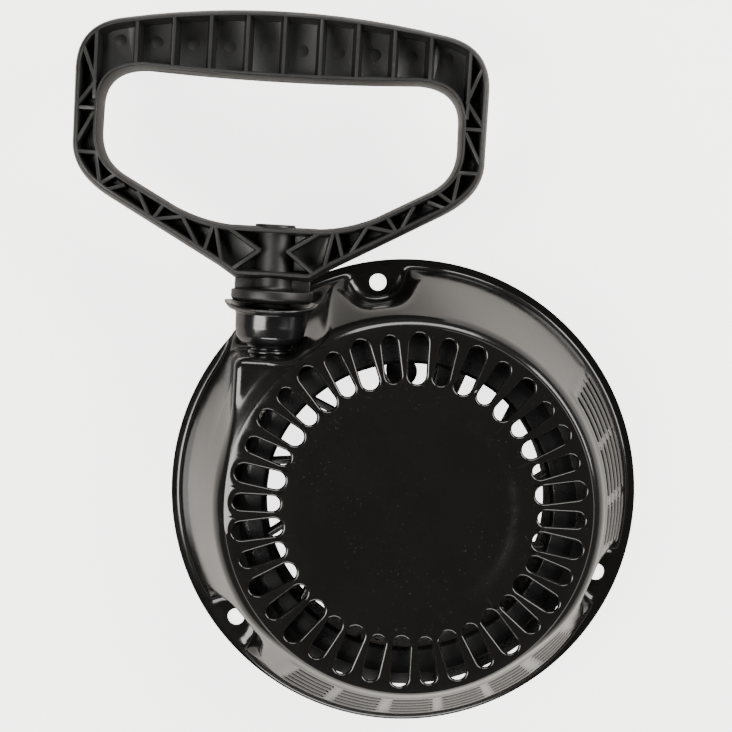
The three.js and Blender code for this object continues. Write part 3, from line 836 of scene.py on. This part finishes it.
towardPull = Matrix.Rotation(-math.pi / 2, 4, "X")  # turned shapes stand along the pull line
pullTurn = Matrix(((pullSide.x, pullDirection.x, 0), (pullSide.y, pullDirection.y, 0), (0, 0, 1))).to_4x4()
pullStart = pullSide * -pullLine["offset"] + Vector((0, 0, pullLine["height"]))
pullMatrix = Matrix.Translation(pullStart) @ pullTurn
handleMatrix = pullMatrix @ Matrix.Translation((0, pullLine["seat"], 0))


# handle

handleSize = dict(
    half=12.5, web=1.5, outerCrown=2.0, innerCrown=1.4, outerWall=3.2, innerWall=2.4,
    ribTop=12.25, barFoot=4.6, trussFoot=3.0, ribTip=1.4, draft=1.5, pitch=15.93, topRibs=9, endRib=81.0,
    edge=0.32, reach=2.6, boss=8.9, knotHole=6.6, knotFloor=-3.0, bore=3.1, collar=18.2,
    trussRibs=[
        [(86, 82.5), (82, 72.5)], [(82, 67), (87.2, 59.8)], [(88, 57.3), (79, 57.3)],
        [(82, 53.4), (87, 43.8)], [(88, 38.3), (77, 38.3)], [(78.6, 35), (77.2, 26.4)],
        [(71, 28.6), (76, 25.3)], [(68.4, 24.1), (75, 22)], [(59, 20.3), (55, 12.2)],
        [(50, 15.4), (53.1, 11)], [(51.4, 11), (43.2, 12.2)], [(39.4, 11), (32.6, -1)],
        [(27.1, 9), (30.6, -3)], [(25.6, 9), (22.3, -7)], [(20.3, 9), (8, 1)], [(8, -1.5), (17.7, -9)],
    ],
)


def handleLoops():
    outer = mirroredOutline(outline(
        (0, -13), (16.5, -13), (24.5, -7.8), (73, 19.1), (90.6, 28.8, 90.6, 43), (90.8, 74),
        (91, 94.5, 70, 98), (35, 104.5, 0, 104.5)))
    opening = mirroredOutline(outline(
        (0, 10.6), (20, 10.6), (32, 11.5, 44, 17), (67, 29.5), (78, 35.5, 78.2, 48), (78, 60),
        (77.5, 75, 60, 75.6), (30, 74, 0, 74)))
    return outer, opening


def handleBlank():
    s = handleSize
    levels = [0, 3.5, 7, 9.5, 11.2, 12.0, 12.35, s["half"]]
    stacks = []
    for loop, crown, way in zip(handleLoops(), (s["outerCrown"], s["innerCrown"]), (-1, 1)):
        stack = []
        for w in [-w for w in levels[:0:-1]] + levels:
            rim = {12.35: 0.12, s["half"]: 0.4}.get(abs(w), 0.0)
            stack.append(atLevel(offsetLoop(loop, way * (crown * (abs(w) / s["half"]) ** 2.3 + rim)), w))
        stacks.append(stack)
    return prismOf(stacks)


def ribMesh(begin, end, side, foot):
    # a rib is thinner at its tip, and its ends run on into the walls
    s = handleSize
    begin, end = np.array(begin, float), np.array(end, float)
    way = (end - begin) / np.hypot(*(end - begin))
    begin, end = begin - way * s["reach"], end + way * s["reach"]
    across = np.array([-way[1], way[0]])
    points = []
    for level, width in ((s["web"] - 0.5, foot), (s["ribTop"], s["ribTip"])):
        for corner, sign in ((begin, -1), (end, -1), (end, 1), (begin, 1)):
            points.append((*(corner + across * sign * width / 2), level * side))
    return meshOf(points, [(0, 1, 2, 3), (4, 5, 6, 7)] + ringFaces(2, 4))


def handleCells(side):
    s = handleSize
    stacks = []
    for loop, wall, sign in zip(handleLoops(), (-s["outerWall"], s["innerWall"]), (-1, 1)):
        foot = atLevel(offsetLoop(loop, wall + sign * s["draft"]), side * s["web"])
        stacks.append([foot, atLevel(offsetLoop(loop, wall), side * (s["half"] + 1))])
    ribs = []
    for k in range(s["topRibs"]):
        across = (k - (s["topRibs"] - 1) / 2) * s["pitch"]
        ribs.append(ribMesh((across, 73), (across, 103), side, s["barFoot"]))
    for begin, end in s["trussRibs"] + [[(s["endRib"], 64), (s["endRib"], 95)]]:
        for sign in (1, -1):
            ribs.append(ribMesh((sign * begin[0], begin[1]), (sign * end[0], end[1]), side, s["trussFoot"]))
    return carved(prismOf(stacks), combined(ribs), selfCross=True)


def handleSpindle():
    # boss and collar with the rope's bore and the knot's pocket, and the neck's two plates
    s = handleSize
    stem = lathed(soften([
        (s["bore"], -25.6), (8.0, -25.6), (8.4, -23.2), (s["collar"] - 1.5, -23), (s["collar"], -21.4),
        (s["collar"], -17.6), (s["boss"] + 0.6, -17.2), (s["boss"], -16), (s["boss"], 11.5),
        (s["knotHole"], 11.5), (s["knotHole"], s["knotFloor"]), (s["bore"], s["knotFloor"]),
    ], 0.7), closed=True)
    plates = [moved(boxMesh(9.0, 6.4, 5.6, 0.6), Matrix.Translation((x, -15, 0))) for x in (-12.2, 12.2)]
    return combined([moved(stem, towardPull)] + plates)


def ejectorMarks():
    s = handleSize
    marks = []
    for side in (-1, 1):
        flip = Matrix.Scale(side, 4, (0, 0, 1))
        for k in range(s["topRibs"] + 1):
            mark = lathed(soften([(0, 0.07), (2.5, 0.07), (2.7, -0.2)], 0.1, 2), 28)
            place = ((k - s["topRibs"] / 2) * s["pitch"], 88, side * s["web"])
            marks.append(moved(mark, Matrix.Translation(place) @ flip))
    return marks


def makeHandle():
    s = handleSize
    blank = handleBlank()
    for side in (-1, 1):
        blank = carved(blank, handleCells(side))
    core = lathed([(0, -24), (s["boss"] - 0.3, -24), (s["boss"] - 0.3, 13), (0, 13)], 64)
    blank = eased(carved(blank, moved(core, towardPull)), s["edge"])
    whole = moved(combined([blank, handleSpindle()] + ejectorMarks()), handleMatrix)
    placeMesh("pull_handle_grip", whole, "grip_plastic", "pull_handle", "handle", 38)


makeHandle()
print("handle moulded")


# rope guide

guideProfile = [
    (3.6, 52), (7.6, 52), (8.5, 53.5), (8.5, 59.4), (7, 59.7), (7, 62.2), (8.5, 62.5), (8.5, 64.0),
    (9.4, 64.4), (9.4, 65.6), (7.9, 66.0), (7.9, 66.6), (9.4, 67.0), (9.9, 68.2), (12.6, 69.0), (14.8, 71.6),
    (15.6, 75.6), (15.7, 82.2), (16.6, 83.4), (19.2, 84.6), (21, 86.9), (20.6, 87.5), (19.4, 87.4),
    (17.6, 85.6), (14.2, 82.4), (13.2, 77.6), (6.0, 75.6), (3.6, 74.2),
]


def makeGuide():
    cup = lathed(soften(guideProfile, 0.6, 3), 128, closed=True)
    for vertex in cup.vertices:  # the lip sets back at the top
        vertex.co.z -= 0.16 * max(0, -vertex.co.y) * smoothStep(80.5, 86, vertex.co.z)
    place = pullMatrix @ towardPull
    placeMesh("rope_guide_cup", moved(cup, place), "gloss_plastic", "casing", "rope_guide", 50)
    ring = soften([(7.3, 60.1), (12, 60.1), (12, 62.0), (7.3, 62.0), (7.3, 60.2)], 0.3, 2)
    clip = lathed(ring, 64, closed=True)
    placeMesh("guide_clip", moved(clip, place), "zinc_steel", "casing", "rope_guide_clip", 40)


makeGuide()
print("rope guide ready")


# reel

reelSize = dict(
    rimInner=63.6, rimOuter=75.5, skirt=87.2, drum=65.2, low=21.3, high=53.0, skirtWall=1.6, wall=2.0,
    hub=44.5, hubTop=59.0, hubWall=2.5, web=(35.0, 38.0), post=9.3, spokes=12, spokeMiddle=54, firstSpoke=8.3,
    slant=24.0, knotRadius=59.0, knotAngle=92.0, pawlPivot=27.0,
)


def sectorMesh(inner, outer, first, last, low, high):
    turns = np.linspace(first, last, 10)
    loop = np.array([polar(outer, a)[:2] for a in turns] + [polar(inner, a)[:2] for a in turns[::-1]])
    return eased(prismOf([[atLevel(loop, low), atLevel(loop, high)]]), 0.6, 3)


def turnedMesh(profile, radius=0.4, segments=96):
    return lathed(soften(list(profile) + [profile[0]], radius, 3), segments, closed=True)


def makeReel():
    r = reelSize
    low, high, inner, outer = r["low"], r["high"], r["rimInner"], r["rimOuter"]
    floor, shelf = low + r["skirtWall"], high - r["wall"]
    rim = turnedMesh([
        (inner, 38), (inner, low), (r["skirt"], low), (r["skirt"], floor), (r["drum"], floor),
        (r["drum"], shelf), (outer - 3, shelf), (outer, shelf - 0.6), (outer, high - 0.6),
        (outer - 4, high), (inner + 1.4, high), (inner, high - 2.4),
    ], 0.5, 192)
    hub, bottom, web, post = r["hub"], *r["web"], r["post"]
    hubWeb = turnedMesh([
        (post, 30), (post, 20), (15, 20), (15, bottom), (hub, bottom), (hub, r["hubTop"]),
        (hub - r["hubWall"], r["hubTop"]), (hub - r["hubWall"], web), (post, web),
    ], 0.5, 144)
    parts = [rim, hubWeb]
    slant = Matrix.Translation((r["spokeMiddle"], 0, 43)) @ Matrix.Rotation(math.radians(r["slant"]), 4, "Z")
    for k in range(r["spokes"]):
        turn = Matrix.Rotation(math.radians(r["firstSpoke"] + 360 / r["spokes"] * k), 4, "Z")
        parts.append(moved(boxMesh(22.4, 2.4, 14), turn @ slant))
    parts.append(sectorMesh(hub - 1, inner + 0.8, 66, 78, 36, 50))
    boss = turnedMesh([(0.2, 34.2), (5.3, 34.2), (5.3, 21.0), (6.9, 21.0), (6.9, 36), (0.2, 36)], 0.4, 48)
    parts.append(moved(boss, Matrix.Translation(polar(r["knotRadius"], r["knotAngle"]))))
    for angle in (90, 270):
        socket = turnedMesh([(2.8, 30), (2.8, 24), (6, 24), (6, 36), (2.8, 36)], 0.3, 48)
        parts.append(moved(socket, Matrix.Translation(polar(r["pawlPivot"], angle))))
    placeMesh("rope_pulley", combined(parts), "reel_plastic", "rope_reel", "reel", 40)


makeReel()
print("reel ready")


# rope: a braid whose strands cross at a fixed pitch

ropeSize = dict(radius=2.5, drum=68.85, turns=3.774, pitch=5.3, entry=55, knot=5.2)


def tube(points, radius, sides, upward):
    # rings of points round a path
    ahead = np.gradient(points, axis=0)
    ahead /= np.linalg.norm(ahead, axis=1)[:, None]
    across = np.cross(ahead, upward)
    across /= np.linalg.norm(across, axis=1)[:, None]
    above = np.cross(across, ahead)
    turns = [2 * math.pi * j / sides for j in range(sides)]
    return [centre + radius * (math.cos(a) * side + math.sin(a) * top)
            for centre, side, top in zip(points, across, above) for a in turns]


def sweep(points, radius, sides, name):
    # a tube with its length and its turn kept as a map for the braid
    points = np.array(points, float)
    length = np.concatenate([[0], np.cumsum(np.linalg.norm(np.diff(points, axis=0), axis=1))])
    maps = []
    for begin, end in zip(length, length[1:]):
        for j in range(sides):
            maps += [(begin, j / sides), (begin, (j + 1) / sides), (end, (j + 1) / sides), (end, j / sides)]
    last = (len(points) - 1) * sides
    caps = [tuple(range(sides))[::-1], tuple(range(last, last + sides))]
    places = [tuple(p) for p in tube(points, radius, sides, np.array([0, 0, 1.0]))]
    mesh = bpy.data.meshes.new(name)
    mesh.from_pydata(places, [], ringFaces(len(points), sides) + caps)
    layer = mesh.uv_layers.new(name="braid")
    layer.data.foreach_set("uv", np.array(maps + [(0, 0)] * (2 * sides), float).ravel())
    return mesh


def makeRope():
    s = ropeSize
    entry = pullSide * -pullLine["offset"] + pullDirection * s["entry"]
    leaveAngle = math.degrees(math.atan2(entry.y, entry.x) + math.acos(s["drum"] / entry.length))
    steps = int(s["turns"] * 150)
    wound = []
    for share in np.arange(steps + 1) / steps:
        height = pullLine["height"] - s["pitch"] * s["turns"] * share
        wound.append(polar(s["drum"], leaveAngle + 360 * s["turns"] * share, height))
    coil = sweep(wound, s["radius"], 16, "rope_on_reel")
    placeMesh("rope_on_reel", coil, "rope_fibre", "rope_reel", "rope_wound", 60)
    leave = Vector(polar(s["drum"], leaveAngle))
    lift = Vector((0, 0, pullLine["height"]))
    last = pullLine["seat"] + 1.0
    run = [leave.lerp(entry, k / 14) + lift for k in range(14)]
    run += [entry + pullDirection * (last - s["entry"]) * k / 40 + lift for k in range(41)]
    smooth = np.array([tuple(p) for p in run])
    for _ in range(3):
        smooth[1:-1] = (smooth[:-2] + 2 * smooth[1:-1] + smooth[2:]) / 4
    piece = dressed("rope_to_handle", sweep(smooth, s["radius"], 20, "rope_to_handle"), "rope_fibre", 180)
    start, end = [reelAxis + (entry + pullDirection * way + lift) * mm for way in (2, last - s["entry"] - 3)]
    tuple(start)
    tuple(end)
    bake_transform(piece)
    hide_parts("rope_run")


def knotMesh(radius, length):
    # an overhand knot drawn tight: three loops of rope laid round one another
    count, sides, strand = 120, 14, 1.85
    points = []
    for a in [2 * math.pi * k / count for k in range(count + 1)]:
        reach = radius - 1.9 + 0.55 * math.cos(3 * a)
        points.append((reach * math.cos(2 * a), 0.42 * length * math.sin(3 * a), reach * math.sin(2 * a)))
    points = np.array(points)
    rings = tube(points, strand, sides, points * np.array([1, 0, 1]))
    return meshOf(rings[:count * sides], ringFaces(count, sides, closed=True))


def makeKnots():
    s = ropeSize
    atHandle = pullMatrix @ Matrix.Translation((0, pullLine["seat"] + 3.6, 0))
    outer = moved(knotMesh(s["knot"], 3.8), atHandle)
    placeMesh("knot_in_handle", outer, "rope_fibre", "pull_handle", "rope_knot_handle", 80)
    angle = reelSize["knotAngle"]
    inReel = polar(reelSize["knotRadius"] + 0.4, angle, pullLine["height"] - s["turns"] * s["pitch"])
    place = Matrix.Translation(inReel) @ Matrix.Rotation(math.radians(angle - 90), 4, "Z")
    inner = moved(knotMesh(4.6, 3.6), place)
    placeMesh("knot_in_reel", inner, "rope_fibre", "rope_reel", "rope_knot_reel", 80)


makeRope()
makeKnots()
print("rope laid")


# spring, post, bolt, washers and pawls

def makeSpring():
    turns, inner, outer, strip, low, high = 7, 11.0, 40.6, 0.8, 40.0, 56.0
    steps = turns * 72
    half, quarter, edge = strip / 2, strip / 4, 0.2
    section = [(-half, low + edge), (-quarter, low), (quarter, low), (half, low + edge),
               (half, high - edge), (quarter, high), (-quarter, high), (-half, high - edge)]
    points = []
    for share in np.arange(steps + 1) / steps:
        middle = inner + (outer - inner) * share ** 0.8
        points += [polar(middle + side, -360 * turns * share, z) for side, z in section]
    faces = ringFaces(steps + 1, 8) + [tuple(range(8)), tuple(steps * 8 + j for j in range(8))]
    placeMesh("spring_strip", meshOf(points, faces), "spring_steel", "rope_reel", "rewind_spring", 40)


def pawlPlaces():
    # both pawls' pivots, half a turn apart
    pivot = Matrix.Translation((0, reelSize["pawlPivot"], 0))
    return [(letter, number, Matrix.Rotation(turn, 4, "Z") @ pivot)
            for letter, number, turn in (("a", "1", 0.0), ("b", "2", math.pi))]


def makeTurnedParts():
    top = 64.7
    post = [(3.3, 30), (3.3, 19.3), (9, 19.3), (9, top - 3), (22, top - 3), (22, top), (0.4, top),
            (0.4, 46), (3.3, 46)]
    thrust = [(3.4, 18.2), (3.4, 17.8), (17, 17.8), (17, 19), (3.4, 19)]
    guide = [(3.4, 7.5), (3.4, 7), (10, 7), (10, 8.2), (3.4, 8.2)]
    for name, node, profile, radius, segments in (
            ("post", "centre_post", post, 0.4, 96), ("washer_thrust", "thrust_washer", thrust, 0.25, 96),
            ("washer_guide", "guide_washer", guide, 0.25, 72)):
        placeMesh(name, turnedMesh(profile, radius, segments), "zinc_steel", "casing", node, 40)
    retainer = turnedMesh([(3, -2.4), (3, -2.7), (6.2, -2.7), (6.2, -1.2), (3, -1.2)], 0.25, 48)
    retainer = moved(retainer, handleMatrix @ towardPull)
    placeMesh("retainer", retainer, "zinc_steel", "pull_handle", "rope_retainer", 40)
    hexagon = np.array([polar(6.9, a)[:2] for a in range(30, 390, 60)])
    head = eased(prismOf([[atLevel(hexagon, 2.7), atLevel(hexagon, 6.7)]]), 0.45, 3)
    thread = [(3.0 - 0.35 * (k % 2), 14 + 0.5 * k) for k in range(52)]
    shank = lathed([(0.0, 6.2), (3.0, 6.2)] + thread + [(0.0, 40.2)], 40)
    placeMesh("bolt", combined([head, shank]), "zinc_steel", "casing", "centre_bolt", 30)
    for letter, number, place in pawlPlaces():
        pin = turnedMesh([
            (0.3, 13), (0.3, 11.6), (4.2, 11.6), (4.2, 12.9), (2.5, 12.9), (2.5, 33), (0.3, 33)], 0.35, 40)
        placeMesh("pin_" + letter, moved(pin, place), "zinc_steel", "rope_reel", "pawl_pin_" + number, 40)


def easedCopy(node, name, slot, width):
    # a copy of the plain piece with its edges rounded
    mesh = frame["nodes"][node].data.copy()
    mesh.transform(Matrix.Scale(1 / mm, 4) @ Matrix.Translation(-reelAxis))
    edited(mesh, lambda work: bmesh.ops.remove_doubles(work, verts=work.verts, dist=0.002))
    placeMesh(name, eased(mesh, width, 3, 30), slot, frame["nodes"][node]["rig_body"], node, 40)


def wireCopy(node, name, points, radius):
    mesh = sweep(points, radius, 14, name)
    placeMesh(name, mesh, "spring_steel", frame["nodes"][node]["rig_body"], node, 60)


def makeSmallParts():
    for letter, number, place in pawlPlaces():
        easedCopy("pawl_" + number, "dog_" + letter, "pawl_steel", 0.35)
        points = [(-9, 3.9, 20), (-4.5, 3.95, 20)]
        points += [polar(3.9, 90 - 900 * n / 80, 20 + 3 * n / 80) for n in range(81)]
        points += [(4.5, -3.95, 23), (9, -3.9, 23)]
        points = [tuple(place @ Vector(p)) for p in points]
        wireCopy("pawl_spring_" + number, "dog_spring_" + letter, points, 0.4)
    easedCopy("pawl_guide", "guide_plate_disc", "guide_nylon", 0.3)
    coil = [polar(6.5, 1080 * n / 144, 12.3 + 4.2 * n / 144) for n in range(145)]
    wireCopy("brake_spring", "drag_spring", coil, 0.7)


makeSpring()
makeTurnedParts()
makeSmallParts()
print("inner parts ready")


# floor

floorSetup = dict(size=6.0, colour=(0.50, 0.475, 0.445), rough=(0.5, 0.62), glow=3.2)


def makeFloor(setup):
    half = setup["size"] / 2
    mesh = bpy.data.meshes.new("floor")
    corners = [(-half, -half, 0), (half, -half, 0), (half, half, 0), (-half, half, 0)]
    mesh.from_pydata(corners, [], [(0, 1, 2, 3)])
    material = bpy.data.materials.new("pale floor")
    material.use_nodes = True
    tree = material.node_tree
    low, high = setup["rough"]
    grain = placeGroup(tree, grainGroup, {"Scale": 60.0, "Low": low, "High": high})
    seen = addNode(tree, "ShaderNodeLightPath").outputs["Is Camera Ray"]
    fillSockets(tree.nodes["Principled BSDF"], {
        "Base Color": setup["colour"] + (1,), "Roughness": grain.outputs["Roughness"],
        "Emission Color": (1, 1, 1, 1), "Emission Strength": mathOf(tree, "MULTIPLY", seen, setup["glow"])})
    mesh.materials.append(material)
    addObject("floor", mesh)


makeFloor(floorSetup)
print("floor laid")
